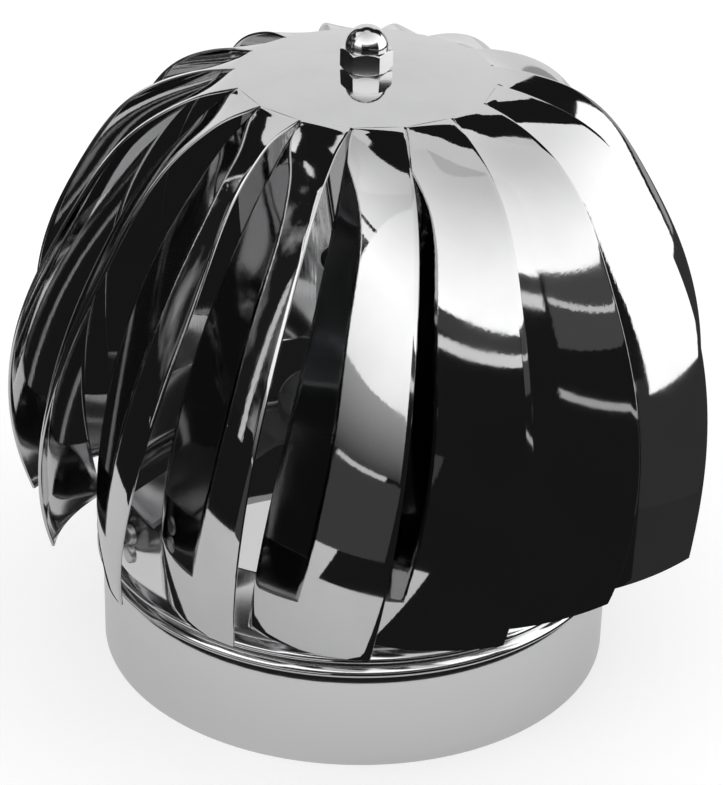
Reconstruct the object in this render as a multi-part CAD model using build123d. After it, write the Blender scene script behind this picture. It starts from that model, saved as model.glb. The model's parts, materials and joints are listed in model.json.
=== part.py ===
from build123d import *
from math import asin, cos, pi, radians, sin, sqrt
import os

# Roof turbine ventilator: a wind driven head of sixteen vanes that turns on two
# ball bearings above a flue collar. Millimetres, +Z up, origin at the centre of
# the collar's lower rim. A turn is an angle seen from above, measured from the
# front (-Y) towards +X.

# Flue collar, whose lower length is the spigot that goes into the pipe
spigot_radius = 99.7
collar_wall = 0.8
collar_height = 39.0
bead_count = 2
bead_pitch = 5.8
bead_proud = 2.2
bead_waist = 0.7
shoulder_height = 3.0
neck_inset = 1.7
neck_hem = 2.4
neck_hem_gap = 0.1

# Wind head
vane_count = 16
sheet = 1.0
head_phase = -5.5
crown_radius = 48.0
crown_rim_height = 234.6
crown_rise = 3.4
slit_width = 0.8
vane_neck_gap = 8.0
vane_depth = 28.0
inner_start_out = 9.89
inner_start_drop = 6.61
inner_foot_gap = 1.0
inner_foot_lift = 2.4
free_start_out = 14.08
free_start_drop = 5.85
free_foot_out = 25.26
free_foot_rise = 8.0
free_turn_start = 19.2
free_turn_lean = 7.7
free_turn_curl = 3.2
inner_turn_start = -1.0
inner_turn_lean = 15.9
vane_curve_radius = 100.0
bend_run_inner = 1.2
bend_run_free = 6.0
bend_free_lead = 0.6
vane_sections = 12
section_crowding = 1.1

# Spindle and what clamps the crown
spindle_radius = 5.0
spindle_collar_radius = 7.0
spindle_chamfer = 0.8
thread_tail = 1.5
thread_clearance = 0.02
nut_across_flats = 17.0
cap_nut_height = 18.0
cap_nut_hex_height = 8.0
cap_nut_dome_radius = 7.5
nut_chamfer = 0.8
crown_washer_radius = 20.0
crown_washer_thickness = 2.5
lock_nut_height = 8.0
lock_collar_height = 2.0
lock_collar_inset = 1.0
lock_washer_radius = 8.0
lock_washer_thickness = 1.6

# Ball bearings, 10 x 26 x 8
bearing_outer_radius = 13.0
bearing_width = 8.0
bearing_ball_radius = 2.38
bearing_ball_count = 7
bearing_land = 2.0
bearing_chamfer = 0.3
race_clearance = 0.03
shield_thickness = 0.35
shield_inset = 0.25
shield_clearance = 0.25
cage_back = 3.1
cage_front = 1.3
cage_radial = 1.1
cage_clearance = 0.12

# Bearing housing
housing_radius = 17.0
housing_lift = 12.0
lower_bearing_inset = 5.0
bearing_spacing = 54.0
housing_top_lip = 3.8
housing_bore_radius = 10.8
flange_radius = 31.0
flange_thickness = 4.0
flange_lift = 8.5
flange_round = 1.0
circlip_thickness = 1.2
circlip_groove_depth = 0.8
circlip_radial = 2.6
circlip_gap = 9.0
circlip_ear_radius = 1.6
circlip_ear_inset = 1.2
circlip_ear_bore = 0.7
cap_wall = 0.8
cap_depth = 17.0
cap_lap = 5.0

# Struts between collar and housing
strut_count = 3
strut_phase = 60.0
strut_width = 22.0
strut_thickness = 2.0
strut_foot_gap = 0.9
strut_foot_length = 21.0
strut_knee_radius = 42.0
strut_bend_radius = 7.0
strut_end_radius = 18.0

# Fasteners
rivet_radius = 2.0
rivet_head_radius = 3.9
rivet_head_height = 1.6
rivet_tail_radius = 3.0
rivet_tail_height = 1.2
rivet_rows = 2
rivet_inset = 4.5
rivet_pitch = 8.2
screw_radius = 2.5
screw_circle = 25.0
screw_head_radius = 4.3
screw_head_height = 2.8
screw_nut_flats = 8.0
screw_nut_height = 4.0
hole_clearance = 0.15
seat_gap = 0.05
seal_radius = 10.5
seal_height = 6.0
seal_lip_inset = 1.5
seal_lip_gap = 0.3
seal_wall = 1.2
seal_edge = 0.6

# Turns
full_turn = 360
quarter_turn = full_turn / 4
pitch_turn = full_turn / vane_count

# Collar and struts, from the spigot up
neck_radius = spigot_radius - neck_inset
bead_bottom = collar_height
bead_top = bead_bottom + bead_count * bead_pitch
shoulder_top = bead_top + shoulder_height
strut_foot_bottom = shoulder_top + strut_foot_gap
strut_foot_top = strut_foot_bottom + strut_foot_length
neck_top = strut_foot_top + neck_hem_gap + neck_hem

# Housing, bearings and spindle
housing_bottom = neck_top + housing_lift
flange_bottom = housing_bottom + flange_lift
lower_bearing_bottom = housing_bottom + lower_bearing_inset
lower_bearing_top = lower_bearing_bottom + bearing_width
upper_bearing_bottom = lower_bearing_bottom + bearing_spacing
upper_bearing_top = upper_bearing_bottom + bearing_width
housing_top = upper_bearing_top + housing_top_lip
lock_washer_bottom = lower_bearing_bottom - lock_washer_thickness
lock_nut_bottom = lock_washer_bottom - lock_nut_height
spindle_bottom = lock_nut_bottom - thread_tail

# Crown
crown_ball_radius = (crown_radius**2 + crown_rise**2) / (2 * crown_rise)
crown_top = crown_rim_height + crown_rise
crown_ball_height = crown_top - crown_ball_radius
spindle_shoulder = crown_top - sheet - crown_washer_thickness

# The vanes' inner edges lie on an oval round the neck, their free edges on the
# globe outside it. Each edge runs from a start near the crown to a foot that
# stays clear of the neck's rivets.
inner_oval_radius = neck_radius + vane_neck_gap
globe_radius = inner_oval_radius + vane_depth
inner_start = (crown_radius + inner_start_out, crown_rim_height - inner_start_drop)
inner_foot = (neck_radius + rivet_head_height + inner_foot_gap, shoulder_top + inner_foot_lift)
free_start = (crown_radius + free_start_out, crown_rim_height - free_start_drop)
free_foot = (inner_foot[0] + free_foot_out, inner_foot[1] + free_foot_rise)

os.makedirs("parts", exist_ok=True)


def save(shape, name):
    export_step(shape, f"parts/{name}.step")


def spot(radius, turn, height):
    """The point at a radius from the axis, a turn from the front and a height."""
    return Vector(radius * sin(radians(turn)), -radius * cos(radians(turn)), height)


def turned(shape, turn):
    """The shape carried round the axis, as seen from above, by a turn."""
    return Rot(0, 0, turn) * shape


def revolved(points):
    """A solid of revolution about Z from a closed outline of (radius, height)."""
    outline = Polyline(*[(r, 0, z) for r, z in points], close=True)
    return revolve(make_face(outline), Axis.Z)


def ring(inner, outer, bottom, top):
    """A plain ring about Z."""
    return revolved([(inner, bottom), (outer, bottom), (outer, top), (inner, top)])


def hexagon(across_flats, bottom, height, bore):
    """A hexagonal nut blank with both ends chamfered and a plain bore."""
    corner = across_flats / sqrt(3)
    prism = Pos(0, 0, bottom) * extrude(RegularPolygon(corner, 6), height)
    top = bottom + height
    cone = revolved(
        [
            (0, bottom),
            (across_flats / 2, bottom),
            (across_flats / 2 + nut_chamfer * 2, bottom + nut_chamfer),
            (across_flats / 2 + nut_chamfer * 2, top - nut_chamfer),
            (across_flats / 2, top),
            (0, top),
        ]
    )
    return (prism & cone) - Pos(0, 0, bottom) * extrude(Circle(bore), height)


# Collar


def collar_side(offset):
    """The collar's profile from rim to neck, moved inwards by an offset."""
    spigot = spigot_radius - offset
    waist = spigot - bead_waist
    lines = [Line((spigot, 0, 0), (spigot, 0, bead_bottom))]
    for bead in range(bead_count):
        low = bead_bottom + bead * bead_pitch
        start = (spigot if bead == 0 else waist, 0, low)
        middle = (spigot + bead_proud, 0, low + bead_pitch / 2)
        lines.append(ThreePointArc(start, middle, (waist, 0, low + bead_pitch)))
    neck = neck_radius - offset
    lines.append(Line((waist, 0, bead_top), (neck, 0, shoulder_top)))
    lines.append(Line((neck, 0, shoulder_top), (neck, 0, neck_top)))
    return lines


def base_collar():
    outside = collar_side(0)
    inside = collar_side(collar_wall)
    rim = Line(outside[0] @ 0, inside[0] @ 0)
    lip = Line(outside[-1] @ 1, inside[-1] @ 1)
    shell = revolve(make_face(Wire([*outside, *inside, rim, lip])), Axis.Z)
    hem = ring(neck_radius - 2 * collar_wall, neck_radius - collar_wall, neck_top - neck_hem, neck_top)
    return drill_rivets(shell + hem)


def rivet_spots():
    """Places and turns of the rivets that hold the struts in the neck."""
    for strut in range(strut_count):
        for row in range(rivet_rows):
            height = strut_foot_bottom + rivet_inset + row * rivet_pitch
            yield strut_phase + full_turn * strut / strut_count, height


def across_neck(turn, height):
    """A plane on the neck's outside whose normal points away from the axis."""
    out = spot(1, turn, 0)
    return Plane(origin=spot(neck_radius, turn, height), x_dir=(0, 0, 1), z_dir=out)


def strut_foot():
    """Radius of the strut's flat outer face, whose corners meet the round neck."""
    return sqrt((neck_radius - collar_wall) ** 2 - (strut_width / 2) ** 2) - seat_gap


def rivet_grip():
    """What a rivet passes through: neck wall, the hollow behind it and strut."""
    return neck_radius - strut_foot() + strut_thickness


def drill_rivets(shape):
    for turn, height in rivet_spots():
        hole = across_neck(turn, height) * Cylinder(rivet_radius + hole_clearance, 3 * rivet_grip())
        shape -= hole
    return shape


# Struts


def strut(index):
    foot = strut_foot()
    tab = flange_bottom - strut_thickness
    with BuildSketch(Plane.XZ) as side:
        with BuildLine():
            FilletPolyline(
                (foot, strut_foot_bottom),
                (foot, strut_foot_top),
                (strut_knee_radius, tab + strut_thickness),
                (strut_end_radius, tab + strut_thickness),
                radius=strut_bend_radius,
            )
            offset(amount=strut_thickness, side=Side.LEFT)
        make_face()
    band = extrude(side.sketch, strut_width / 2, both=True)
    turn = strut_phase + full_turn * index / strut_count
    band = drill_rivets(turned(band, turn - quarter_turn))
    place = spot(screw_circle, turn, tab)
    return band - Pos(place) * Cylinder(screw_radius + hole_clearance, 4 * strut_thickness)


def strut_rivets():
    grip = rivet_grip()
    body = Pos(0, 0, -grip) * extrude(Circle(rivet_radius), grip)
    head = extrude(Circle(rivet_head_radius), rivet_head_height)
    head = fillet(head.edges().group_by(Axis.Z)[-1], rivet_head_height * 0.7)
    tail = Pos(0, 0, -grip - rivet_tail_height) * extrude(Circle(rivet_tail_radius), rivet_tail_height)
    tail = fillet(tail.edges().group_by(Axis.Z)[0], rivet_tail_height * 0.7)
    rivet = body + head + tail
    return Compound([across_neck(turn, height) * rivet for turn, height in rivet_spots()])


# Bearing housing


def circlip_bottom(bearing):
    """The lower face of a circlip: below the lower bearing, above the upper one."""
    if bearing == "lower":
        return lower_bearing_bottom - circlip_thickness
    return upper_bearing_top


def bearing_housing():
    seat = bearing_outer_radius
    body = ring(housing_bore_radius, housing_radius, housing_bottom, housing_top)
    flange_inner = (seat + housing_radius) / 2
    flange = ring(flange_inner, flange_radius, flange_bottom, flange_bottom + flange_thickness)
    flange = fillet(flange.edges().group_by(Axis.Z)[-1].sort_by(SortBy.RADIUS)[-1], flange_round)
    body += flange
    body -= ring(0, seat, housing_bottom, lower_bearing_top)
    body -= ring(0, seat, upper_bearing_bottom, housing_top)
    for bearing in ("lower", "upper"):
        low = circlip_bottom(bearing)
        body -= ring(0, seat + circlip_groove_depth, low, low + circlip_thickness)
    for index in range(strut_count):
        place = spot(screw_circle, strut_phase + full_turn * index / strut_count, flange_bottom)
        body -= Pos(place) * Cylinder(screw_radius + hole_clearance, 3 * flange_thickness)
    return body


def circlip(bearing):
    """An open spring ring in the housing groove, with an ear at each end."""
    low = circlip_bottom(bearing)
    outer = bearing_outer_radius + circlip_groove_depth - seat_gap
    band = ring(outer - circlip_radial, outer, low, low + circlip_thickness)
    gap = Pos(0, -outer, low) * Box(circlip_gap, 3 * circlip_radial, 4 * circlip_thickness)
    band -= gap
    for side in (-1, 1):
        x = side * (circlip_gap / 2 + circlip_ear_inset)
        place = Pos(x, -outer + circlip_radial + circlip_ear_inset / 2, low)
        band += place * extrude(Circle(circlip_ear_radius), circlip_thickness)
        band -= place * Cylinder(circlip_ear_bore, 4 * circlip_thickness)
    return band


def housing_cap():
    """A pressed cup over the housing's lower end that keeps soot off the bearing."""
    top = housing_bottom + cap_lap
    low = top - cap_depth
    outer = housing_radius + cap_wall
    cup = ring(0, outer, low, top) - ring(0, housing_radius, low + cap_wall, top)
    return fillet(cup.edges().group_by(Axis.Z)[0], cap_wall * 0.9)


def strut_screws():
    """Flanged screws through housing flange and strut, with their nuts below."""
    solids = []
    top = flange_bottom + flange_thickness
    tab = flange_bottom - strut_thickness
    low = tab - screw_nut_height
    for index in range(strut_count):
        place = spot(screw_circle, strut_phase + full_turn * index / strut_count, 0)
        shank = Pos(0, 0, low - thread_tail) * extrude(Circle(screw_radius), top - low + thread_tail)
        head = Pos(0, 0, top) * extrude(Circle(screw_head_radius), screw_head_height)
        head = fillet(head.edges().group_by(Axis.Z)[-1], screw_head_height * 0.6)
        solids.append(Pos(place.X, place.Y, 0) * (shank + head))
        nut = hexagon(screw_nut_flats, low, screw_nut_height, screw_radius + thread_clearance)
        solids.append(Pos(place.X, place.Y, 0) * nut)
    return Compound(solids)


# Ball bearings

pitch_radius = (spindle_radius + bearing_outer_radius) / 2
groove_radius = bearing_ball_radius + race_clearance
inner_land = spindle_radius + bearing_land
outer_land = bearing_outer_radius - bearing_land


def race(inner, outer, bottom):
    """A bearing ring with the ball groove turned into it."""
    middle = bottom + bearing_width / 2
    blank = ring(inner, outer, bottom, bottom + bearing_width)
    blank = chamfer(blank.edges().filter_by(GeomType.CIRCLE), bearing_chamfer)
    return blank - Pos(0, 0, middle) * Torus(pitch_radius, groove_radius)


def shields(bottom):
    """The two pressed shields, held in the outer ring and clear of the inner one."""
    low = bottom + shield_inset
    high = bottom + bearing_width - shield_inset - shield_thickness
    inner = inner_land + shield_clearance
    return Compound([ring(inner, outer_land, z, z + shield_thickness) for z in (low, high)])


def ball_set(bottom):
    """The balls, and the crown cage whose open pockets space them."""
    middle = bottom + bearing_width / 2
    cage = ring(
        pitch_radius - cage_radial,
        pitch_radius + cage_radial,
        middle - cage_front,
        middle + cage_back,
    )
    balls = []
    for index in range(bearing_ball_count):
        place = spot(pitch_radius, full_turn * index / bearing_ball_count, middle)
        cage -= Pos(place) * Sphere(bearing_ball_radius + cage_clearance)
        balls.append(Pos(place) * Sphere(bearing_ball_radius))
    return cage, Compound(balls)


# Spindle and fasteners on it


def spindle():
    thread_top = crown_top + cap_nut_hex_height
    rod = revolved(
        [
            (0, spindle_bottom),
            (spindle_radius - spindle_chamfer, spindle_bottom),
            (spindle_radius, spindle_bottom + spindle_chamfer),
            (spindle_radius, upper_bearing_top),
            (spindle_collar_radius, upper_bearing_top),
            (spindle_collar_radius, spindle_shoulder),
            (spindle_radius, spindle_shoulder),
            (spindle_radius, thread_top - spindle_chamfer),
            (spindle_radius - spindle_chamfer, thread_top),
            (0, thread_top),
        ]
    )
    return rod


def bearing_spacer():
    inner = spindle_radius + thread_clearance
    return ring(inner, inner_land, lower_bearing_top, upper_bearing_bottom)


def cap_nut():
    """An acorn nut: chamfered hexagon, short neck and dome in one."""
    bore = spindle_radius + thread_clearance
    hexagonal = hexagon(nut_across_flats, crown_top, cap_nut_hex_height, bore)
    dome_base = crown_top + cap_nut_hex_height
    dome_middle = crown_top + cap_nut_height - cap_nut_dome_radius
    top = (0, 0, crown_top + cap_nut_height)
    side = (cap_nut_dome_radius, 0, dome_middle)
    foot = (cap_nut_dome_radius, 0, dome_base)
    quarter = Plane.XZ * CenterArc((0, dome_middle), cap_nut_dome_radius, 0, quarter_turn)
    outline = [Line((0, 0, dome_base), foot), Line(foot, side), quarter, Line(top, (0, 0, dome_base))]
    return hexagonal + revolve(make_face(Wire(outline)), Axis.Z)


def crown_washer():
    """The wide washer under the crown, dished to the crown's underside."""
    bore = spindle_radius + thread_clearance
    blank = ring(bore, crown_washer_radius, spindle_shoulder, crown_top - sheet)
    return blank & Pos(0, 0, crown_ball_height) * Sphere(crown_ball_radius - sheet)


def lock_nut():
    """The self locking nut that draws the spindle into the inner rings."""
    bore = spindle_radius + thread_clearance
    low = lock_nut_bottom
    step = low + lock_collar_height
    body = hexagon(nut_across_flats, step, lock_nut_height - lock_collar_height, bore)
    return body + ring(bore, nut_across_flats / 2 - lock_collar_inset, low, step)


def spindle_seal():
    """A rubber ring on the spindle whose lip turns just above the housing."""
    low = housing_top + seal_lip_gap
    top = low + seal_height
    lip = housing_radius - seal_lip_inset
    return revolved(
        [
            (spindle_collar_radius, low + 2 * seal_wall),
            (seal_radius, low + 2 * seal_wall),
            (lip - seal_edge, low),
            (lip, low + seal_edge / 2),
            (seal_radius, low + 3 * seal_wall),
            (seal_radius, top - seal_edge),
            (seal_radius - seal_edge, top),
            (spindle_collar_radius, top),
        ]
    )


# Crown and vanes


def crown_height(radius, depth=0):
    """Height of the domed crown at a radius, on its top or a depth below it."""
    return crown_ball_height + sqrt((crown_ball_radius - depth) ** 2 - radius**2)


def crown():
    """The domed disc, cut to one straight edge for each vane."""
    dome = Sphere(crown_ball_radius) - Sphere(crown_ball_radius - sheet)
    blank = Pos(0, 0, crown_rim_height - 3 * sheet) * extrude(
        RegularPolygon(crown_radius, vane_count), crown_rise + 4 * sheet
    )
    blank = turned(blank, head_phase)
    disc = (Pos(0, 0, crown_ball_height) * dome) & blank
    disc = disc.solids().sort_by(Axis.Z)[-1]
    return disc - Pos(0, 0, crown_top) * Cylinder(spindle_radius + hole_clearance, 4 * sheet)


def oval_point(widest, start, foot, along, turn):
    """A point of an upright oval that passes its widest radius between start and foot."""
    start_polar = asin(start[0] / widest)
    foot_polar = pi - asin(foot[0] / widest)
    reach = (start[1] - foot[1]) / (cos(start_polar) - cos(foot_polar))
    polar = start_polar + (foot_polar - start_polar) * along
    height = start[1] - reach * (cos(start_polar) - cos(polar))
    return spot(widest * sin(polar), turn + head_phase, height)


def free_point(along):
    """A point of the free edge, on the globe, from its start (0) to its foot (1)."""
    turn = free_turn_start - free_turn_lean * along - free_turn_curl * along**2
    return oval_point(globe_radius, free_start, free_foot, along, turn)


def inner_point(along):
    """A point of the inner edge, on the narrower oval inside the globe."""
    turn = inner_turn_start - inner_turn_lean * along
    return oval_point(inner_oval_radius, inner_start, inner_foot, along, turn)


def vane_section(inner, free, crest, out):
    """One cross section: an arc from edge to edge and its copy a sheet thinner."""
    low = [point - out * sheet for point in (inner, crest, free)]
    top_arc = ThreePointArc(inner, crest, free)
    low_arc = ThreePointArc(*low)
    return make_face(Wire([top_arc, Line(free, low[2]), low_arc, Line(low[0], inner)]))


def crown_edge_section():
    """The first section, which is the face that meets the crown's own edge."""
    half = pitch_turn / 2
    flat = crown_radius * cos(radians(half))
    reach = crown_radius * sin(radians(half)) - slit_width / 2
    middle_turn = head_phase + half
    across = spot(1, middle_turn + quarter_turn, 0)
    points = []
    for side in (-1, 0, 1):
        foot = spot(flat, middle_turn, 0) + across * (side * reach)
        radius = sqrt(foot.X**2 + foot.Y**2)
        points.append([Vector(foot.X, foot.Y, crown_height(radius, depth)) for depth in (0, sheet)])
    (inner, inner_low), (crest, crest_low), (free, free_low) = points
    top_arc = ThreePointArc(inner, crest, free)
    low_arc = ThreePointArc(inner_low, crest_low, free_low)
    face = make_face(Wire([top_arc, Line(free, free_low), low_arc, Line(inner_low, inner)]))
    return inner, free, face


def vane():
    """One vane: flush with the crown, bent down along a slanting crease, then
    curved and leaned over down to its free foot."""
    inner, free, first = crown_edge_section()
    sections = [first]
    slope = Vector(0, 0, -crown_radius / crown_ball_radius)
    rows = [(inner, free)]
    rows.append(
        (
            inner + (spot(1, head_phase, 0) + slope) * bend_run_inner,
            free + (spot(1, head_phase + pitch_turn * bend_free_lead, 0) + slope) * bend_run_free,
        )
    )
    for index in range(vane_sections):
        along = (index / (vane_sections - 1)) ** section_crowding
        rows.append((inner_point(along), free_point(along)))
    middles = [(a + b) * 0.5 for a, b in rows]
    for index in range(1, len(rows)):
        inner, free = rows[index]
        after = middles[min(index + 1, len(rows) - 1)]
        path = after - middles[index - 1]
        chord = free - inner
        out = chord.cross(path).normalized() * -1
        rise = vane_curve_radius - sqrt(vane_curve_radius**2 - (chord.length / 2) ** 2)
        crest = middles[index] + out * rise
        sections.append(vane_section(inner, free, crest, out))
    return loft(sections)


save(base_collar(), "base_collar")
for number in range(strut_count):
    save(strut(number), f"strut_{number + 1}")
save(strut_rivets(), "strut_rivets")
save(strut_screws(), "strut_screws")
save(bearing_housing(), "bearing_housing")
save(housing_cap(), "housing_cap")
for position, height in (("lower", lower_bearing_bottom), ("upper", upper_bearing_bottom)):
    cage, balls = ball_set(height)
    save(circlip(position), f"{position}_circlip")
    save(race(outer_land, bearing_outer_radius, height), f"{position}_bearing_outer_ring")
    save(race(spindle_radius, inner_land, height), f"{position}_bearing_inner_ring")
    save(shields(height), f"{position}_bearing_shields")
    save(cage, f"{position}_bearing_cage")
    save(balls, f"{position}_bearing_balls")

save(spindle(), "spindle")
save(bearing_spacer(), "bearing_spacer")
save(spindle_seal(), "spindle_seal")
bore = spindle_radius + thread_clearance
save(ring(bore, lock_washer_radius, lock_washer_bottom, lower_bearing_bottom), "lock_washer")
save(lock_nut(), "lock_nut")
save(crown_washer(), "crown_washer")
save(cap_nut(), "cap_nut")

save(crown(), "crown")
blade = vane()
for number in range(vane_count):
    save(turned(blade, pitch_turn * number), f"vane_{number + 1:02d}")
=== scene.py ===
import json
import math

import bmesh
import bpy
from bpy.props import FloatProperty, FloatVectorProperty, IntProperty, PointerProperty
from mathutils import Matrix, Vector


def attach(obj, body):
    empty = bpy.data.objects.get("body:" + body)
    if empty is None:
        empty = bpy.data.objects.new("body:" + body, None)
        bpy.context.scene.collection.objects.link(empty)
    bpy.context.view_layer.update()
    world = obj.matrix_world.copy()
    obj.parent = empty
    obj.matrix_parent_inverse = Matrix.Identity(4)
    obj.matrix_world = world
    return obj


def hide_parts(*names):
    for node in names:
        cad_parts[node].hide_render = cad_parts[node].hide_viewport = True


bl_info = {
    "name": "Roof turbine ventilator",
    "version": (1, 0, 0),
    "blender": (4, 5, 0),
    "location": "View3D > Sidebar > Ventilator",
    "description": "Mirror bright wind driven ventilator head on its flue collar",
    "category": "Object",
}

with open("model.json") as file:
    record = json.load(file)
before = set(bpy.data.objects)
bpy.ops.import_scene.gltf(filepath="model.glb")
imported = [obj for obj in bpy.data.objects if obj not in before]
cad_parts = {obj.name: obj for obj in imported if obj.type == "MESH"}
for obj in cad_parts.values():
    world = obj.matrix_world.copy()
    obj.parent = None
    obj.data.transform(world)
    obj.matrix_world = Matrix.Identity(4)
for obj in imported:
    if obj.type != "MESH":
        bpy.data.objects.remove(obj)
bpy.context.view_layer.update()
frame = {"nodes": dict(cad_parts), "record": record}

# Stations along a vane run from 0 at the crown to 1 at the foot. The bare edge
# turns down at the crease and joins its oval at the shoulder. The bend reach is
# the length over which that turn is rounded, as a mean of so many samples.
CREASE = 0.03
SHOULDER = 0.085
BEND_REACH = 0.028
BEND_SAMPLES = 9

# Vanes that a hand has bent off the pattern, by number: how far the free edge
# swings round, in degrees, how far its foot flares out and drops, in metres, and
# how far the inner edge swings round, in degrees
PATTERN = (0, 0, 0, 0)
HAND_BENDS = {
    1: (-0.8, 0, 0, 1.5),
    2: (-3.2, 0, 0, -4.0),
    3: (-4.0, 0, 0, 0),
    4: (0, 0.009, 0.0035, 0),
    13: (3.0, 0.001, 0.003, 0),
    14: (3.0, 0, 0, 0),
    15: (3.4, 0, 0, 0),
    16: (-1.6, 0, 0, 0),
}

# A swing is fullest a little above the middle of an edge, a flare keeps to the foot
SWING_POWER = 0.8
FLARE_POWER = 5

# Points of a mesh closer than this are one
WELD = 1e-6


# Sizes

def length(name, text, default):
    """A length in metres."""
    return FloatProperty(name=name, description=text, default=default, precision=5,
                         unit="LENGTH", subtype="DISTANCE")


def turn(name, text, default):
    """An angle, with its default in degrees."""
    return FloatProperty(name=name, description=text, default=math.radians(default),
                         unit="ROTATION", subtype="ANGLE")


def share(name, text, default):
    """A plain ratio."""
    return FloatProperty(name=name, description=text, default=default)


def colour(name, text, default):
    """A metal's own colour."""
    return FloatVectorProperty(name=name, description=text, default=default, subtype="COLOR", min=0, max=1)


class HeadSizes(bpy.types.PropertyGroup):
    vane_count: IntProperty(name="Vanes", description="Number of vanes round the crown", default=16, min=6)
    sheet: length("Sheet", "Thickness of the head's sheet", 0.001)
    phase: turn("Phase", "Turn of the first crown corner from the front", -5.5)
    crown_radius: length("Crown radius", "Crown's corners, where the slits end", 0.048)
    rim_height: length("Crown rim height", "Height of the crown's corners", 0.2346)
    crown_rise: length("Crown rise", "How far the crown domes above its corners", 0.0034)
    slit: length("Slit", "Width of the slit between two vanes at the crown", 0.0008)
    globe_radius: length("Globe radius", "Ball on which the free edges lie", 0.134)
    globe_height: length("Globe height", "Height of that ball's centre", 0.110)
    start_polar: turn("Free edge start", "Polar angle at which the free edge starts", 27.6)
    foot_height: length("Free foot height", "Height of the free edge's foot", 0.064)
    oval_radius: length("Oval radius", "Oval on which the inner edges lie", 0.106)
    oval_height: length("Oval height", "Height of that oval's centre", 0.103)
    oval_reach: length("Oval reach", "Half the height of that oval", 0.1492)
    inner_polar: turn("Inner edge start", "Polar angle at which the inner edge starts", 33.1)
    inner_foot: length("Inner foot height", "Height of the inner edge's foot", 0.056)
    free_turn: turn("Free turn", "Turn of the free edge at its start", 19.2)
    free_lean: turn("Free lean", "How far the free edge leans back", 7.7)
    free_curl: turn("Free curl", "How far it leans back more towards its foot", 3.2)
    inner_turn: turn("Inner turn", "Turn of the inner edge at its start", -1.0)
    inner_lean: turn("Inner lean", "How far the inner edge leans back", 15.9)
    curve_radius: length("Vane curve", "Radius of a vane's own hollow, across it", 0.100)
    bend_inner: length("Bend run inner", "Flat run before the bend at the inner edge", 0.0012)
    bend_free: length("Bend run free", "Flat run before the bend at the free edge", 0.006)
    swell: length("Swell", "How far the free edges stand out from the ball below the crown", 0.006)
    swell_at: share("Swell place", "Where along the edge that is most", 0.13)
    swell_spread: share("Swell spread", "How far along the edge it fades", 0.16)
    bend_lead: share("Bend lead", "Turn of the flat run at the free edge, in pitches", 0.6)


class CollarSizes(bpy.types.PropertyGroup):
    spigot_radius: length("Spigot radius", "Outside of the plain lower length", 0.0997)
    wall: length("Wall", "Thickness of the collar's sheet", 0.0008)
    height: length("Spigot height", "Height of the plain lower length", 0.039)
    bead_pitch: length("Bead pitch", "Height of one bead", 0.0058)
    bead_proud: length("Bead proud", "How far a bead stands out from the spigot", 0.0022)
    neck_radius: length("Neck radius", "Outside of the neck", 0.098)
    waist: length("Waist", "How far the hollow between the beads lies inside the spigot", 0.0007)
    shoulder: length("Shoulder", "Height of the slope from the upper bead in to the neck", 0.003)
    neck_top: length("Neck top", "Height of the neck's upper edge", 0.078)


class NutSizes(bpy.types.PropertyGroup):
    across_flats: length("Across flats", "Cap nut's hexagon across its flats", 0.0167)
    hex_height: length("Hexagon height", "Height of the hexagon", 0.008)
    height: length("Height", "Height of the whole cap nut", 0.0165)
    dome_radius: length("Dome radius", "Radius of the dome", 0.0079)
    chamfer: length("Chamfer", "Chamfer at the hexagon's ends", 0.0008)


class SteelLooks(bpy.types.PropertyGroup):
    mirror: colour("Mirror steel", "Colour of the polished sheet", (0.65, 0.65, 0.655))
    collar: colour("Collar steel", "Colour of the collar's sheet", (0.62, 0.62, 0.625))
    plain: colour("Plain steel", "Colour of struts and cap", (0.50, 0.50, 0.51))
    zinc: colour("Zinc", "Colour of the plated fasteners", (0.62, 0.63, 0.62))
    aluminium: colour("Aluminium", "Colour of the turned housing", (0.58, 0.59, 0.61))


class StudioLooks(bpy.types.PropertyGroup):
    camera_back: length("Camera distance", "How far the camera stands in front of the spindle", 0.9398)
    camera_height: length("Camera height", "How high the camera stands above the floor", 0.6139)
    camera_pitch: turn("Camera pitch", "How far the camera looks down", 28.49)
    camera_roll: turn("Camera roll", "How far the camera is tilted to its left", 1.4)
    camera_yaw: turn("Camera yaw", "How far the camera looks to the left of the spindle", -0.07)
    film: FloatProperty(name="Film side", description="Width of the camera's film", default=36, unit="CAMERA")
    lens: FloatProperty(name="Lens", description="Focal length for that film", default=126.94, unit="CAMERA")
    card_radius: length("Card distance", "How far the studio's cards stand from the head", 1.6)
    card_centre: length("Card centre", "Height of the point that the cards curve round", 0.13)
    floor_radius: length("Floor radius", "Radius of the studio's floor", 6)


def settings(context, name):
    """The group of sizes or looks with a name."""
    return getattr(context.scene, "ventilator_" + name)


# Shared surface effects

def new_group(name, inputs, outputs):
    """An empty shader group with its named sockets, and its two end nodes."""
    group = bpy.data.node_groups.new(name, "ShaderNodeTree")
    for label, kind, value in inputs:
        socket = group.interface.new_socket(label, in_out="INPUT", socket_type=kind)
        socket.default_value = value
    for label, kind in outputs:
        group.interface.new_socket(label, in_out="OUTPUT", socket_type=kind)
    start = group.nodes.new("NodeGroupInput")
    end = group.nodes.new("NodeGroupOutput")
    return group, start, end


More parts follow.
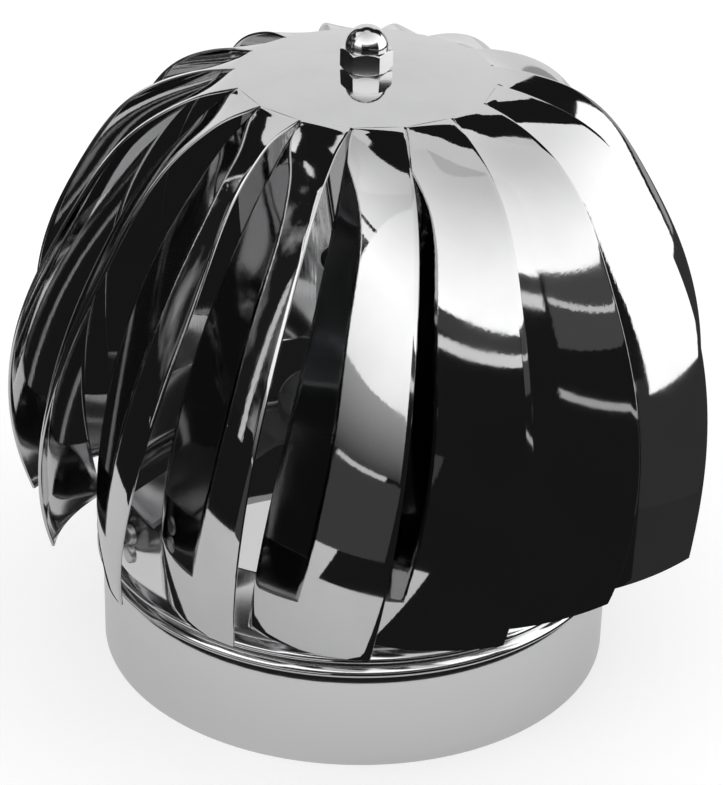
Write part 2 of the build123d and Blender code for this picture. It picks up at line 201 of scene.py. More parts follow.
def polish_marks():
    """Fine straight scratches, cloudy wipe marks and slow dents of a polished sheet."""
    group, start, end = new_group(
        "polish_marks",
        [
            ("Scratch Scale", "NodeSocketFloat", 900.0),
            ("Scratch Depth", "NodeSocketFloat", 0.02),
            ("Wipe", "NodeSocketFloat", 0.5),
            ("Dent Scale", "NodeSocketFloat", 14.0),
            ("Dent Depth", "NodeSocketFloat", 0.5),
            ("Rough Low", "NodeSocketFloat", 0.03),
            ("Rough High", "NodeSocketFloat", 0.12),
            ("Tint", "NodeSocketColor", (0.7, 0.7, 0.7, 1)),
        ],
        [("Color", "NodeSocketColor"), ("Roughness", "NodeSocketFloat"), ("Height", "NodeSocketFloat")],
    )
    nodes, links = group.nodes, group.links
    place = nodes.new("ShaderNodeTexCoord")
    stretch = nodes.new("ShaderNodeMapping")
    stretch.inputs["Scale"].default_value = (1.0, 1.0, 0.06)
    links.new(place.outputs["Object"], stretch.inputs["Vector"])
    scratch = nodes.new("ShaderNodeTexNoise")
    scratch.inputs["Detail"].default_value = 3.0
    links.new(stretch.outputs["Vector"], scratch.inputs["Vector"])
    links.new(start.outputs["Scratch Scale"], scratch.inputs["Scale"])
    wipe = nodes.new("ShaderNodeTexNoise")
    wipe.inputs["Scale"].default_value = 38.0
    wipe.inputs["Detail"].default_value = 5.0
    links.new(place.outputs["Object"], wipe.inputs["Vector"])
    dent = nodes.new("ShaderNodeTexNoise")
    dent.inputs["Detail"].default_value = 0.0
    links.new(place.outputs["Object"], dent.inputs["Vector"])
    links.new(start.outputs["Dent Scale"], dent.inputs["Scale"])
    cloud = nodes.new("ShaderNodeMapRange")
    cloud.inputs["From Min"].default_value = 0.42
    cloud.inputs["From Max"].default_value = 0.72
    links.new(wipe.outputs["Fac"], cloud.inputs["Value"])
    amount = nodes.new("ShaderNodeMath")
    amount.operation = "MULTIPLY"
    links.new(cloud.outputs["Result"], amount.inputs[0])
    links.new(start.outputs["Wipe"], amount.inputs[1])
    rough = nodes.new("ShaderNodeMapRange")
    links.new(amount.outputs["Value"], rough.inputs["Value"])
    links.new(start.outputs["Rough Low"], rough.inputs["To Min"])
    links.new(start.outputs["Rough High"], rough.inputs["To Max"])
    shade = nodes.new("ShaderNodeMix")
    shade.data_type = "RGBA"
    shade.blend_type = "MULTIPLY"
    shade.inputs["B"].default_value = (0.90, 0.90, 0.89, 1)
    links.new(amount.outputs["Value"], shade.inputs["Factor"])
    links.new(start.outputs["Tint"], shade.inputs["A"])
    deep = nodes.new("ShaderNodeMath")
    deep.operation = "MULTIPLY"
    links.new(dent.outputs["Fac"], deep.inputs[0])
    links.new(start.outputs["Dent Depth"], deep.inputs[1])
    fine = nodes.new("ShaderNodeMath")
    fine.operation = "MULTIPLY_ADD"
    links.new(scratch.outputs["Fac"], fine.inputs[0])
    links.new(start.outputs["Scratch Depth"], fine.inputs[1])
    links.new(deep.outputs["Value"], fine.inputs[2])
    links.new(shade.outputs["Result"], end.inputs["Color"])
    links.new(rough.outputs["Result"], end.inputs["Roughness"])
    links.new(fine.outputs["Value"], end.inputs["Height"])
    return group


def metal(name, tint, distance=0.0004, **values):
    """A metal that takes its marks from the shared group, with its own values."""
    made = bpy.data.materials.new(name)
    made.use_nodes = True
    nodes, links = made.node_tree.nodes, made.node_tree.links
    shader = nodes["Principled BSDF"]
    shader.inputs["Metallic"].default_value = 1.0
    marks = nodes.new("ShaderNodeGroup")
    marks.node_tree = bpy.data.node_groups["polish_marks"]
    marks.inputs["Tint"].default_value = (*tint, 1)
    for label, value in values.items():
        marks.inputs[label.replace("_", " ").title()].default_value = value
    bump = nodes.new("ShaderNodeBump")
    bump.inputs["Distance"].default_value = distance
    links.new(marks.outputs["Color"], shader.inputs["Base Color"])
    links.new(marks.outputs["Roughness"], shader.inputs["Roughness"])
    links.new(marks.outputs["Height"], bump.inputs["Height"])
    links.new(bump.outputs["Normal"], shader.inputs["Normal"])
    return made


def moulding(name, colour, roughness):
    """A dull moulded plastic or rubber with a fine grain."""
    made = bpy.data.materials.new(name)
    made.use_nodes = True
    nodes, links = made.node_tree.nodes, made.node_tree.links
    shader = nodes["Principled BSDF"]
    shader.inputs["Roughness"].default_value = roughness
    place = nodes.new("ShaderNodeTexCoord")
    grain = nodes.new("ShaderNodeTexNoise")
    grain.inputs["Scale"].default_value = 1500.0
    links.new(place.outputs["Object"], grain.inputs["Vector"])
    shade = nodes.new("ShaderNodeMix")
    shade.data_type = "RGBA"
    shade.inputs["A"].default_value = (*colour, 1)
    shade.inputs["B"].default_value = (*[1.6 * c for c in colour], 1)
    links.new(grain.outputs["Fac"], shade.inputs["Factor"])
    links.new(shade.outputs["Result"], shader.inputs["Base Color"])
    bump = nodes.new("ShaderNodeBump")
    bump.inputs["Distance"].default_value = 0.0001
    bump.inputs["Strength"].default_value = 0.4
    links.new(grain.outputs["Fac"], bump.inputs["Height"])
    links.new(bump.outputs["Normal"], shader.inputs["Normal"])
    return made


# Mesh helpers

def spot(radius, angle, height):
    """The point at a radius from the spindle, an angle from the front and a height."""
    return Vector((radius * math.sin(angle), -radius * math.cos(angle), height))


def piece(mesh, name, body, material, node, sharp=35):
    """Turns a bmesh into a piece that rides on a body and stands for a CAD node."""
    bmesh.ops.recalc_face_normals(mesh, faces=mesh.faces)
    data = bpy.data.meshes.new(name)
    mesh.to_mesh(data)
    mesh.free()
    data.materials.append(bpy.data.materials[material])
    data.polygons.foreach_set("use_smooth", [True] * len(data.polygons))
    data.set_sharp_from_angle(angle=math.radians(sharp))
    made = bpy.data.objects.new(name, data)
    bpy.context.scene.collection.objects.link(made)
    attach(made, body)
    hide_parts(node)


def spun(profile, steps):
    """A closed outline of (radius, height) spun once round the spindle."""
    mesh = bmesh.new()
    corners = [mesh.verts.new((r, 0, z)) for r, z in profile]
    edges = [mesh.edges.new((corners[i - 1], corners[i])) for i in range(len(corners))]
    bmesh.ops.spin(mesh, geom=corners + edges, cent=(0, 0, 0), axis=(0, 0, 1), angle=math.tau,
                   steps=steps, use_merge=True)
    bmesh.ops.remove_doubles(mesh, verts=mesh.verts, dist=WELD)
    return mesh


# Head

def ball_radius(head):
    """Radius of the ball that the crown is a cap of."""
    return (head.crown_radius**2 + head.crown_rise**2) / (2 * head.crown_rise)


def crown_height(head, radius):
    """Height of the domed crown at a radius."""
    ball = ball_radius(head)
    return head.rim_height + head.crown_rise - ball + math.sqrt(ball**2 - radius**2)


def swung(degrees, along):
    """How far a hand's bend turns an edge at a place along it."""
    return math.radians(degrees) * math.sin(math.pi * along**SWING_POWER)


def free_point(head, bend, along):
    """A point of a free edge on the globe, from its start (0) to its foot (1)."""
    swing, flare, drop, _ = bend
    foot = math.pi / 2 + math.asin((head.globe_height - head.foot_height) / head.globe_radius)
    polar = head.start_polar + (foot - head.start_polar) * along
    reach = head.globe_radius + head.swell * math.exp(-((along - head.swell_at) / head.swell_spread) ** 2)
    angle = head.free_turn - head.free_lean * along - head.free_curl * along**2
    angle += swung(swing, along)
    late = along**FLARE_POWER
    height = head.globe_height + reach * math.cos(polar) - drop * late
    return spot(reach * math.sin(polar) + flare * late, angle + head.phase, height)


def inner_point(head, bend, along):
    """A point of an inner edge on the narrower oval inside the globe."""
    foot = math.pi / 2 + math.asin((head.oval_height - head.inner_foot) / head.oval_reach)
    polar = head.inner_polar + (foot - head.inner_polar) * along
    height = head.oval_height + head.oval_reach * math.cos(polar)
    angle = head.inner_turn - head.inner_lean * along + head.phase + swung(bend[-1], along)
    return spot(head.oval_radius * math.sin(polar), angle, height)


def crown_corner(head, side):
    """An end of the vane's straight root on the crown: side -1 inner, 1 free."""
    half = math.pi / head.vane_count
    flat = head.crown_radius * math.cos(half)
    reach = head.crown_radius * math.sin(half) - head.slit / 2
    middle = head.phase + half
    foot = spot(flat, middle, 0) + spot(side * reach, middle + math.pi / 2, 0)
    return Vector((foot.x, foot.y, crown_height(head, foot.length)))


def root_plane(head):
    """The direction and distance from the spindle of a vane's straight root."""
    half = math.pi / head.vane_count
    return spot(1, head.phase + half, 0), head.crown_radius * math.cos(half)


def edge_point(head, bend, side, station):
    """A point of a vane's edge at a station: 0 on the crown, CREASE at the bend, 1 at the foot."""
    root = crown_corner(head, side)
    slope = Vector((0, 0, -head.crown_radius / ball_radius(head)))
    run = head.bend_inner if side < 0 else head.bend_free
    lead = 0 if side < 0 else head.bend_lead
    crease = root + (spot(1, head.phase + lead * math.tau / head.vane_count, 0) + slope) * run
    if station < CREASE:
        return root.lerp(crease, station / CREASE)
    point = inner_point if side < 0 else free_point
    if station >= SHOULDER:
        return point(head, bend, min((station - SHOULDER) / (1 - SHOULDER), 1))
    start = point(head, bend, 0)
    share = (station - CREASE) / (SHOULDER - CREASE)
    onward = 0.01
    leaving = (point(head, bend, onward) - start).normalized() * (start - crease).length
    rising = start - crease
    square, cube = share**2, share**3
    return (crease * (2 * cube - 3 * square + 1) + rising * (cube - 2 * square + share)
            + start * (3 * square - 2 * cube) + leaving * (cube - square))


def rounded_point(head, bend, side, station):
    """The edge with its bend rounded: the mean of the bare edge over the bend's reach."""
    reach = min(BEND_REACH, station, 1 - station)
    shares = [2 * k / (BEND_SAMPLES - 1) - 1 for k in range(BEND_SAMPLES)]
    points = [edge_point(head, bend, side, station + reach * share) for share in shares]
    return sum(points, Vector()) / BEND_SAMPLES


def vane_row(head, bend, station):
    """Both ends of a row across the vane, with its outward direction and its rise."""
    step = 0.004
    inner, free = (rounded_point(head, bend, side, station) for side in (-1, 1))
    before, after = max(station - step, 0), min(station + step, 1)
    path = Vector()
    for side in (-1, 1):
        path += rounded_point(head, bend, side, after) - rounded_point(head, bend, side, before)
    chord = free - inner
    out = path.cross(chord).normalized()
    rise = head.curve_radius - math.sqrt(head.curve_radius**2 - (chord.length / 2) ** 2)
    grown = min(max((station - CREASE) / (2 * SHOULDER), 0), 1)
    return inner, free, out, rise * grown * grown * (3 - 2 * grown)


class VENTILATOR_OT_crown(bpy.types.Operator):
    """Domed disc whose sixteen straight edges carry the vanes"""
    bl_idname = "ventilator.crown"
    bl_label = "Crown"

    RINGS = 30
    STEPS_PER_SIDE = 12
    HIDDEN_HOLE = 0.7

    def execute(self, context):
        head = settings(context, "head")
        half = math.pi / head.vane_count
        mesh = bmesh.new()
        hole = settings(context, "nut").dome_radius * self.HIDDEN_HOLE
        reach = head.crown_radius - hole
        line = [mesh.verts.new((hole + reach * k / self.RINGS, 0, 0)) for k in range(self.RINGS + 1)]
        edges = [mesh.edges.new(pair) for pair in zip(line, line[1:])]
        turned = Matrix.Rotation(head.phase - math.pi / 2, 3, "Z")
        bmesh.ops.rotate(mesh, verts=line, cent=(0, 0, 0), matrix=turned)
        bmesh.ops.spin(mesh, geom=line + edges, cent=(0, 0, 0), axis=(0, 0, 1), angle=math.tau,
                       steps=self.STEPS_PER_SIDE * head.vane_count, use_merge=True)
        for vert in mesh.verts:
            angle = (math.atan2(vert.co.x, -vert.co.y) - head.phase) % (2 * half) - half
            vert.co.xy *= math.cos(half) / math.cos(angle)
            vert.co.z = crown_height(head, vert.co.xy.length)
        bmesh.ops.recalc_face_normals(mesh, faces=mesh.faces)
        if next(iter(mesh.faces)).normal.z < 0:
            bmesh.ops.reverse_faces(mesh, faces=mesh.faces)
        bmesh.ops.solidify(mesh, geom=mesh.faces, thickness=head.sheet)
        piece(mesh, "crown_sheet", "head", "mirror_steel", "crown")
        return {"FINISHED"}


class VENTILATOR_OT_vanes(bpy.types.Operator):
    """Sixteen cambered vanes, each bent down from the crown along a slanting crease"""
    bl_idname = "ventilator.vanes"
    bl_label = "Vanes"

    ACROSS = 20
    BEND_ROWS = 16
    BLADE_ROWS = 84
    RIM_ANGLE = 1

    def blade(self, head, bend):
        """A vane's sheet, its rims broken except on the root that meets the crown."""
        rows = self.BEND_ROWS + self.BLADE_ROWS
        bent = CREASE + BEND_REACH
        mesh = bmesh.new()
        bmesh.ops.create_grid(mesh, x_segments=self.ACROSS, y_segments=rows, size=1)
        found = {}
        for vert in mesh.verts:
            across, row = (vert.co.x + 1) / 2, round((vert.co.y + 1) / 2 * rows)
            if row not in found:
                station = bent * row / self.BEND_ROWS
                if row > self.BEND_ROWS:
                    station = bent + (1 - bent) * (row - self.BEND_ROWS) / self.BLADE_ROWS
                found[row] = vane_row(head, bend, station)
            inner, free, out, rise = found[row]
            vert.co = inner.lerp(free, across) + out * (rise * 4 * across * (1 - across))
        bmesh.ops.recalc_face_normals(mesh, faces=mesh.faces)
        centre = Vector((0, 0, head.globe_height))
        if sum(f.normal.dot(f.calc_center_median() - centre) for f in mesh.faces) < 0:
            bmesh.ops.reverse_faces(mesh, faces=mesh.faces)
        bmesh.ops.solidify(mesh, geom=mesh.faces, thickness=head.sheet)
        away, flat = root_plane(head)
        rims = [e for e in mesh.edges if e.calc_face_angle(0) > self.RIM_ANGLE and
                max(v.co.dot(away) for v in e.verts) > flat + head.sheet / 2]
        bmesh.ops.bevel(mesh, geom=rims, offset=head.sheet / 6, segments=2, profile=0.5,
                        affect="EDGES", material=-1)
        return mesh

    def execute(self, context):
        head = settings(context, "head")
        pattern = self.blade(head, PATTERN)
        for number in range(1, head.vane_count + 1):
            bent = number in HAND_BENDS
            mesh = self.blade(head, HAND_BENDS[number]) if bent else pattern.copy()
            turned = Matrix.Rotation(math.tau * (number - 1) / head.vane_count, 3, "Z")
            bmesh.ops.rotate(mesh, verts=mesh.verts, cent=(0, 0, 0), matrix=turned)
            node = f"vane_{number:02d}"
            piece(mesh, node + "_sheet", "head", "mirror_steel", node)
        pattern.free()
        return {"FINISHED"}


# Collar, nut and inner parts

def arc(start, crest, end, steps=14):
    """Points from start to end over a crest, all (radius, height), without the start."""
    middle = Vector(crest) - (Vector(start) + Vector(end)) / 2
    points = []
    for k in range(1, steps + 1):
        share = k / steps
        foot = Vector(start).lerp(Vector(end), share)
        points.append(tuple(foot + middle * math.sin(math.pi * share)))
    return points


class VENTILATOR_OT_collar(bpy.types.Operator):
    """Rolled collar with its double bead and neck"""
    bl_idname = "ventilator.collar"
    bl_label = "Base collar"

    def side(self, collar, offset):
        """The collar's outline from its foot to its neck, so far inside its outer skin."""
        spigot = collar.spigot_radius - offset
        waist = spigot - collar.waist
        neck = collar.neck_radius - offset
        crest = spigot + collar.bead_proud
        low, middle, top = (collar.height + k * collar.bead_pitch for k in range(3))
        half = collar.bead_pitch / 2
        points = [(spigot, 0), (spigot, low / 2), (spigot, low)]
        points += arc((spigot, low), (crest, low + half), (waist, middle))
        points += arc((waist, middle), (crest, middle + half), (waist, top))
        return points + [(neck, top + collar.shoulder), (neck, collar.neck_top)]

    def execute(self, context):
        collar = settings(context, "collar")
        outline = self.side(collar, 0) + self.side(collar, collar.wall)[::-1]
        mesh = spun(outline, steps=256)
        piece(mesh, "base_collar_sheet", "base", "collar_steel", "base_collar")
        return {"FINISHED"}


class VENTILATOR_OT_cap_nut(bpy.types.Operator):
    """Acorn nut on the crown: chamfered hexagon and polished dome"""
    bl_idname = "ventilator.cap_nut"
    bl_label = "Cap nut"

    def execute(self, context):
        nut, head = settings(context, "nut"), settings(context, "head")
        bottom = head.rim_height + head.crown_rise
        corner = nut.across_flats / math.sqrt(3)
        flat = nut.across_flats / 2
        steps, dome_steps = 6, 16
        outline = [(0, 0)]
        outline += [(flat + (corner - flat) * k / steps, nut.chamfer * k / steps) for k in range(steps + 1)]
        outline += [(corner, nut.hex_height - nut.chamfer)]
        outline += [(corner - (corner - flat) * k / steps, nut.hex_height - nut.chamfer * (1 - k / steps))
                    for k in range(1, steps + 1)]
        middle = nut.height - nut.dome_radius
        outline += [(nut.dome_radius, nut.hex_height), (nut.dome_radius, middle)]
        outline += [(nut.dome_radius * math.cos(a), middle + nut.dome_radius * math.sin(a))
                    for a in (math.pi / 2 * k / dome_steps for k in range(1, dome_steps + 1))]
        mesh = spun([(r, z + bottom) for r, z in outline], steps=96)
        for vert in mesh.verts:
            angle = (math.atan2(vert.co.x, -vert.co.y) + math.pi / 6) % (math.pi / 3) - math.pi / 6
            reach = flat / math.cos(angle)
            if vert.co.xy.length > reach:
                vert.co.xy *= reach / vert.co.xy.length
        bmesh.ops.remove_doubles(mesh, verts=mesh.verts, dist=WELD)
        piece(mesh, "cap_nut_polished", "head", "nut_steel", "cap_nut", sharp=28)
        return {"FINISHED"}


class VENTILATOR_OT_inner_parts(bpy.types.Operator):
    """Finishes of the spindle, bearings, housing, struts and fasteners"""
    bl_idname = "ventilator.inner_parts"
    bl_label = "Inner parts"

    FINISHES = {
        "polished_steel": "mirror_steel",
        "collar_steel": "collar_steel",
        "nut_steel": "nut_steel",
        "plain_steel": "mill_steel",
        "zinc_steel": "zinc_steel",
        "housing_metal": "turned_aluminium",
        "turned_steel": "ground_steel",
        "bearing_steel": "bearing_steel",
        "cage_plastic": "cage_nylon",
        "seal_rubber": "seal_rubber",
    }

    def execute(self, context):
        for part in frame["record"]["subparts"]:
            node = frame["nodes"][part["node"]]
            node.data.materials.clear()
            node.data.materials.append(bpy.data.materials[self.FINISHES[part["material_slot"]]])
        return {"FINISHED"}


class VENTILATOR_OT_finishes(bpy.types.Operator):
    """Procedural metals, nylon and rubber"""
    bl_idname = "ventilator.finishes"
    bl_label = "Finishes"

    def execute(self, context):
        looks = settings(context, "looks")
        polish_marks()
        metal("mirror_steel", looks.mirror, wipe=0.6, rough_low=0.03, rough_high=0.10, dent_depth=0.8)
        metal("collar_steel", looks.collar, wipe=0.9, rough_low=0.10, rough_high=0.26)
        metal("nut_steel", looks.mirror, wipe=0.5, rough_low=0.04, rough_high=0.14, dent_depth=0.1)
        metal("mill_steel", looks.plain, wipe=0.9, rough_low=0.30, rough_high=0.50)
        metal("zinc_steel", looks.zinc, wipe=0.9, rough_low=0.25, rough_high=0.45)
        metal("turned_aluminium", looks.aluminium, wipe=0.8, rough_low=0.25, rough_high=0.42)
        metal("ground_steel", looks.plain, wipe=0.6, rough_low=0.16, rough_high=0.3)
        metal("bearing_steel", looks.zinc, wipe=0.5, rough_low=0.10, rough_high=0.22)
        moulding("cage_nylon", (0.05, 0.05, 0.05), 0.5)
        moulding("seal_rubber", (0.02, 0.02, 0.02), 0.7)
        return {"FINISHED"}


# Studio

# How much the floor glows beyond its own lit colour, for the camera and in mirrors
FLOOR_IN_VIEW = 0.55
FLOOR_IN_MIRRORS = 0.22

# Strength of the white world on dull surfaces, and where it is seen or mirrored
WORLD_LIGHT = 0.9
WORLD_IN_VIEW = 1.0

# Cards stand in two rows, and a thin one just in front of another. Dark and bright
# are the ends of their strengths
NEAR_ROW = 0.88
IN_FRONT = 0.99
DARK = 0.012
BRIGHT = 1.6


def glow(name, low, high, bottom, top, patchy):
    """A glow that changes evenly from a low edge's strength to a high edge's, or one
    with soft patches between both strengths, like a room out of focus."""
    made = bpy.data.materials.new(name)
    made.use_nodes = True
    nodes, links = made.node_tree.nodes, made.node_tree.links
    nodes.clear()
    place = nodes.new("ShaderNodeTexCoord")
    height = nodes.new("ShaderNodeSeparateXYZ")
    links.new(place.outputs["Object"], height.inputs["Vector"])
    fade = nodes.new("ShaderNodeMapRange")
    fade.inputs["From Min"].default_value = bottom
    fade.inputs["From Max"].default_value = top
    fade.inputs["To Min"].default_value = low
    fade.inputs["To Max"].default_value = high
    links.new(height.outputs["Z"], fade.inputs["Value"])
    if patchy:
        patches = nodes.new("ShaderNodeTexNoise")
        patches.inputs["Scale"].default_value = 3.5
        patches.inputs["Detail"].default_value = 4.0
        links.new(place.outputs["Object"], patches.inputs["Vector"])
        fade.inputs["From Min"].default_value = 0.50
        fade.inputs["From Max"].default_value = 0.68
        links.new(patches.outputs["Fac"], fade.inputs["Value"])
    light = nodes.new("ShaderNodeEmission")
    links.new(fade.outputs["Result"], light.inputs["Strength"])
    out = nodes.new("ShaderNodeOutputMaterial")
    links.new(light.outputs["Emission"], out.inputs["Surface"])
    return made


def stage_piece(mesh, name, low, high, lights=False, patchy=False):
    """A glowing or dark studio card that only mirrors see, and dull surfaces too if it lights."""
    heights = [vert.co.z for vert in mesh.verts]
    data = bpy.data.meshes.new(name)
    mesh.to_mesh(data)
    mesh.free()
    data.materials.append(glow(name + "_glow", low, high, min(heights), max(heights) + 0.001, patchy))
    made = bpy.data.objects.new(name, data)
    bpy.context.scene.collection.objects.link(made)
    made.visible_camera = False
    made.visible_shadow = False
    made.visible_diffuse = lights


def card(name, radius, turns, heights, low, high=None, slant=0, lights=False, patchy=False):
    """A curved card between two turns from the front and two heights in degrees, whose
    strength goes from a low edge to a high one, and whose heights may slant."""
    mesh = bmesh.new()
    bmesh.ops.create_grid(mesh, x_segments=24, y_segments=12, size=1)
    middle = Vector((0, 0, settings(bpy.context, "studio").card_centre))
    for vert in mesh.verts:
        angle = math.radians(turns[0] + (turns[1] - turns[0]) * (vert.co.x + 1) / 2)
        height = heights[0] + (heights[1] - heights[0]) * (vert.co.y + 1) / 2 + slant * vert.co.x
        height = math.radians(height)
        vert.co = spot(radius * math.cos(height), angle, radius * math.sin(height)) + middle
    stage_piece(mesh, name, low, low if high is None else high, lights, patchy)


def floor_card(name, turns, radii, height, strength):
    """A flat card on the floor, between two turns from the front and two radii."""
    mesh = bmesh.new()
    bmesh.ops.create_grid(mesh, x_segments=32, y_segments=1, size=1)
    for vert in mesh.verts:
        angle = math.radians(turns[0] + (turns[1] - turns[0]) * (vert.co.x + 1) / 2)
        vert.co = spot(radii[0] if vert.co.y < 0 else radii[1], angle, height)
    stage_piece(mesh, name, strength, strength)


class VENTILATOR_OT_stage(bpy.types.Operator):
    """Pale floor, white background, studio cards and camera"""
    bl_idname = "ventilator.stage"
    bl_label = "Stage"

    def floor(self, studio):
        """Matt pale disc that keeps the object's shadow and is lifted to white in view."""
        mesh = bmesh.new()
        bmesh.ops.create_circle(mesh, segments=96, radius=studio.floor_radius, cap_ends=True)
        data = bpy.data.meshes.new("floor")
        mesh.to_mesh(data)
        mesh.free()
        floor = bpy.data.objects.new("floor", data)
        bpy.context.scene.collection.objects.link(floor)
        paint = bpy.data.materials.new("floor_paint")
        paint.use_nodes = True
        nodes, links = paint.node_tree.nodes, paint.node_tree.links
        nodes.clear()
        path = nodes.new("ShaderNodeLightPath")
        mirrored = nodes.new("ShaderNodeMath")
        mirrored.operation = "MULTIPLY"
        mirrored.inputs[1].default_value = FLOOR_IN_MIRRORS
        links.new(path.outputs["Is Glossy Ray"], mirrored.inputs[0])
        matt = nodes.new("ShaderNodeBsdfDiffuse")
        matt.inputs["Color"].default_value = (0.5, 0.5, 0.5, 1)
        light = nodes.new("ShaderNodeEmission")
        lift = nodes.new("ShaderNodeMath")
        lift.operation = "MULTIPLY_ADD"
        lift.inputs[1].default_value = FLOOR_IN_VIEW
        links.new(path.outputs["Is Camera Ray"], lift.inputs[0])
        links.new(mirrored.outputs["Value"], lift.inputs[2])
        links.new(lift.outputs["Value"], light.inputs["Strength"])
        both = nodes.new("ShaderNodeAddShader")
        out = nodes.new("ShaderNodeOutputMaterial")
        links.new(matt.outputs["BSDF"], both.inputs[0])
        links.new(light.outputs["Emission"], both.inputs[1])
        links.new(both.outputs["Shader"], out.inputs["Surface"])
        data.materials.append(paint)

    def background(self):
        """White world, a little weaker as a light."""
        world = bpy.data.worlds.new("studio")
        bpy.context.scene.world = world
        world.use_nodes = True
        nodes, links = world.node_tree.nodes, world.node_tree.links
        sky = nodes["Background"]
        path = nodes.new("ShaderNodeLightPath")
        seen = nodes.new("ShaderNodeMath")
        seen.operation = "MAXIMUM"
        links.new(path.outputs["Is Camera Ray"], seen.inputs[0])
        links.new(path.outputs["Is Glossy Ray"], seen.inputs[1])
        level = nodes.new("ShaderNodeMapRange")
        level.inputs["To Min"].default_value = WORLD_LIGHT
        level.inputs["To Max"].default_value = WORLD_IN_VIEW
        links.new(seen.outputs["Value"], level.inputs["Value"])
        links.new(level.outputs["Result"], sky.inputs["Strength"])
        sky.inputs["Color"].default_value = (1, 1, 1, 1)

    def camera(self, studio):
        """The photograph's camera, in front of the head and above it."""
        data = bpy.data.cameras.new("camera")
        data.lens = studio.lens
        data.sensor_width = studio.film
        data.clip_start = 0.05
        camera = bpy.data.objects.new("camera", data)
        bpy.context.scene.collection.objects.link(camera)
        place = Matrix.Translation((0, -studio.camera_back, studio.camera_height))
        down = Matrix.Rotation(math.pi / 2 - studio.camera_pitch, 4, "X")
        aim = Matrix.Rotation(studio.camera_yaw, 4, "Z") @ down
        camera.matrix_world = place @ aim @ Matrix.Rotation(studio.camera_roll, 4, "Z")
        bpy.context.scene.camera = camera

    def cards(self, studio):
        """The room that the polished sheet mirrors, turn 0 being the camera's side."""
        far = studio.card_radius
        near = NEAR_ROW * far
        front = near * IN_FRONT
        card("dark_room", far, (-150, 150), (-2, 90), DARK)
        card("dark_ceiling", far, (150, 210), (47, 90), DARK)
        card("back_wall", far, (150, 210), (-2, 47), 0.88)
        card("top_softbox", near, (-72, 12), (29, 90), BRIGHT, 0.75, lights=True)
        card("top_softbox_right", near, (12, 112), (30, 90), BRIGHT, 0.8, lights=True)
        card("top_softbox_left", near, (-91, -72), (33, 90), 1.3, 0.6)
        card("top_softbox_far_left", near, (-122, -91), (44, 90), 1.2, 0.6)
        card("top_softbox_back", near, (112, 238), (73, 90), 0.8)
        card("left_window", near, (-72, -29), (14, 29), 1.2, BRIGHT, lights=True)
        card("left_window_foot", near, (-68, -28), (-2, 14), 0.05, 0.45)
        card("left_clutter", near, (-135, -72), (0, 40), 0.015, 0.3, patchy=True)
        card("right_window", near, (66, 128), (-8, 30), BRIGHT, lights=True)
        card("right_window_foot", near, (60, 128), (-30, -8), 0.05, 0.12)
        card("side_grey", near, (130, 150), (-25, 22), 0.40)
        card("left_streak", near, (-136, -130), (14, 42), 0.9)
        card("left_pillar", front, (-86.5, -84), (-4, 22), 0.7)
        card("left_pillar_foot", front, (-99, -94), (-16, -5), 0.7)
        card("shelf_front", near, (-29, 12), (25, 29), 0.06)
        card("shelf_front_edge", front, (-29, 12), (22.5, 25), 0.9, slant=1)
        card("shelf_right", near, (14, 60), (17, 30), 0.08)
        card("shelf_right_edge", front, (14, 60), (24, 25), 0.7, slant=-1)
        card("front_line", near, (12, 60), (1, 3), 0.5, slant=-5)
        floor_card("left_table", (-66, -24), (0.33, 2.2), 0.001, 0.06)
        floor_card("dark_floor_middle", (-43, -5), (0.235, 4), 0.0006, DARK)
        floor_card("dark_floor_left", (-150, -66), (0.33, 4), 0.0006, DARK)
        floor_card("dark_floor_front", (-5, 60), (0.20, 4), 0.0006, DARK)
        floor_card("dark_floor_right", (60, 150), (0.20, 4), 0.0006, 0.04)
        # Painted shade: dark rings floating just below the bead round the collar, seen only in mirrors, put
        # the dark line of shade under the bead
        floor_card("dark_apron", (-5, 60), (0.1035, 0.24), 0.034, DARK)
        floor_card("dark_apron_right", (60, 150), (0.1035, 0.24), 0.034, 0.035)
        floor_card("dark_under_bead", (-180, -5), (0.1035, 0.112), 0.034, DARK)
        # Painted shade: a dark disc on the floor inside the collar, seen only in mirrors, stands for the
        # shade in the enclosed flue
        floor_card("dark_inside", (-180, 180), (0, 0.096), 0.0012, DARK)

    def execute(self, context):
        studio = settings(context, "studio")
        self.floor(studio)
        self.background()
        self.cards(studio)
        self.camera(studio)
        context.scene.view_settings.view_transform = "Standard"
        return {"FINISHED"}


class VENTILATOR_PT_parts(bpy.types.Panel):
    """The pieces of the ventilator, each with its own button"""
    bl_idname = "VENTILATOR_PT_parts"
    bl_label = "Roof turbine ventilator"
    bl_space_type = "VIEW_3D"
    bl_region_type = "UI"
    bl_category = "Ventilator"

    def draw(self, context):
        for operator in OPERATORS:
            self.layout.operator(operator.bl_idname)
        for name in GROUPS:
            self.layout.separator()
            for key in settings(context, name).bl_rna.properties.keys():
                if key not in ("rna_type", "name"):
                    self.layout.prop(settings(context, name), key)


GROUPS = {
    "head": HeadSizes,
    "collar": CollarSizes,
    "nut": NutSizes,
    "looks": SteelLooks,
    "studio": StudioLooks,
}
OPERATORS = (
    VENTILATOR_OT_finishes,
    VENTILATOR_OT_inner_parts,
    VENTILATOR_OT_collar,
    VENTILATOR_OT_crown,
    VENTILATOR_OT_vanes,
    VENTILATOR_OT_cap_nut,
    VENTILATOR_OT_stage,
)


def register():
    """Registers the classes and hangs their sizes and looks on the scene."""
    for name, group in GROUPS.items():
        bpy.utils.register_class(group)
        setattr(bpy.types.Scene, "ventilator_" + name, PointerProperty(type=group))
    for shown in (*OPERATORS, VENTILATOR_PT_parts):
        bpy.utils.register_class(shown)


def unregister():
    """Takes away what register added."""
    for shown in reversed((*OPERATORS, VENTILATOR_PT_parts)):
        bpy.utils.unregister_class(shown)
    for name, group in GROUPS.items():
        delattr(bpy.types.Scene, "ventilator_" + name)
        bpy.utils.unregister_class(group)


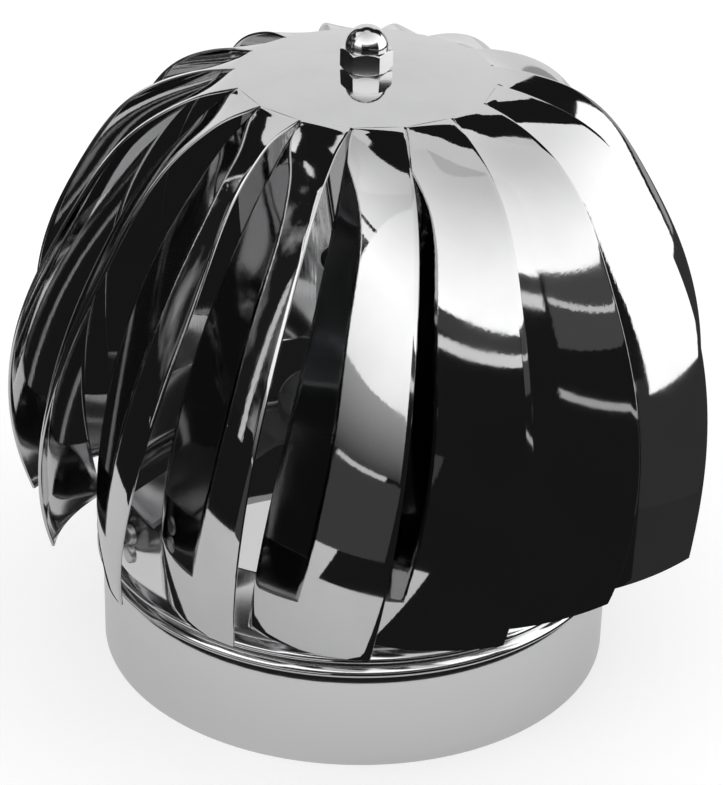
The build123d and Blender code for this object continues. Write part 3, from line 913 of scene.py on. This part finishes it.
def main():
    """Builds every piece and the stage."""
    register()
    bpy.ops.ventilator.finishes()
    bpy.ops.ventilator.inner_parts()
    bpy.ops.ventilator.collar()
    bpy.ops.ventilator.crown()
    bpy.ops.ventilator.vanes()
    bpy.ops.ventilator.cap_nut()
    bpy.ops.ventilator.stage()


if __name__ == "__main__":
    main()
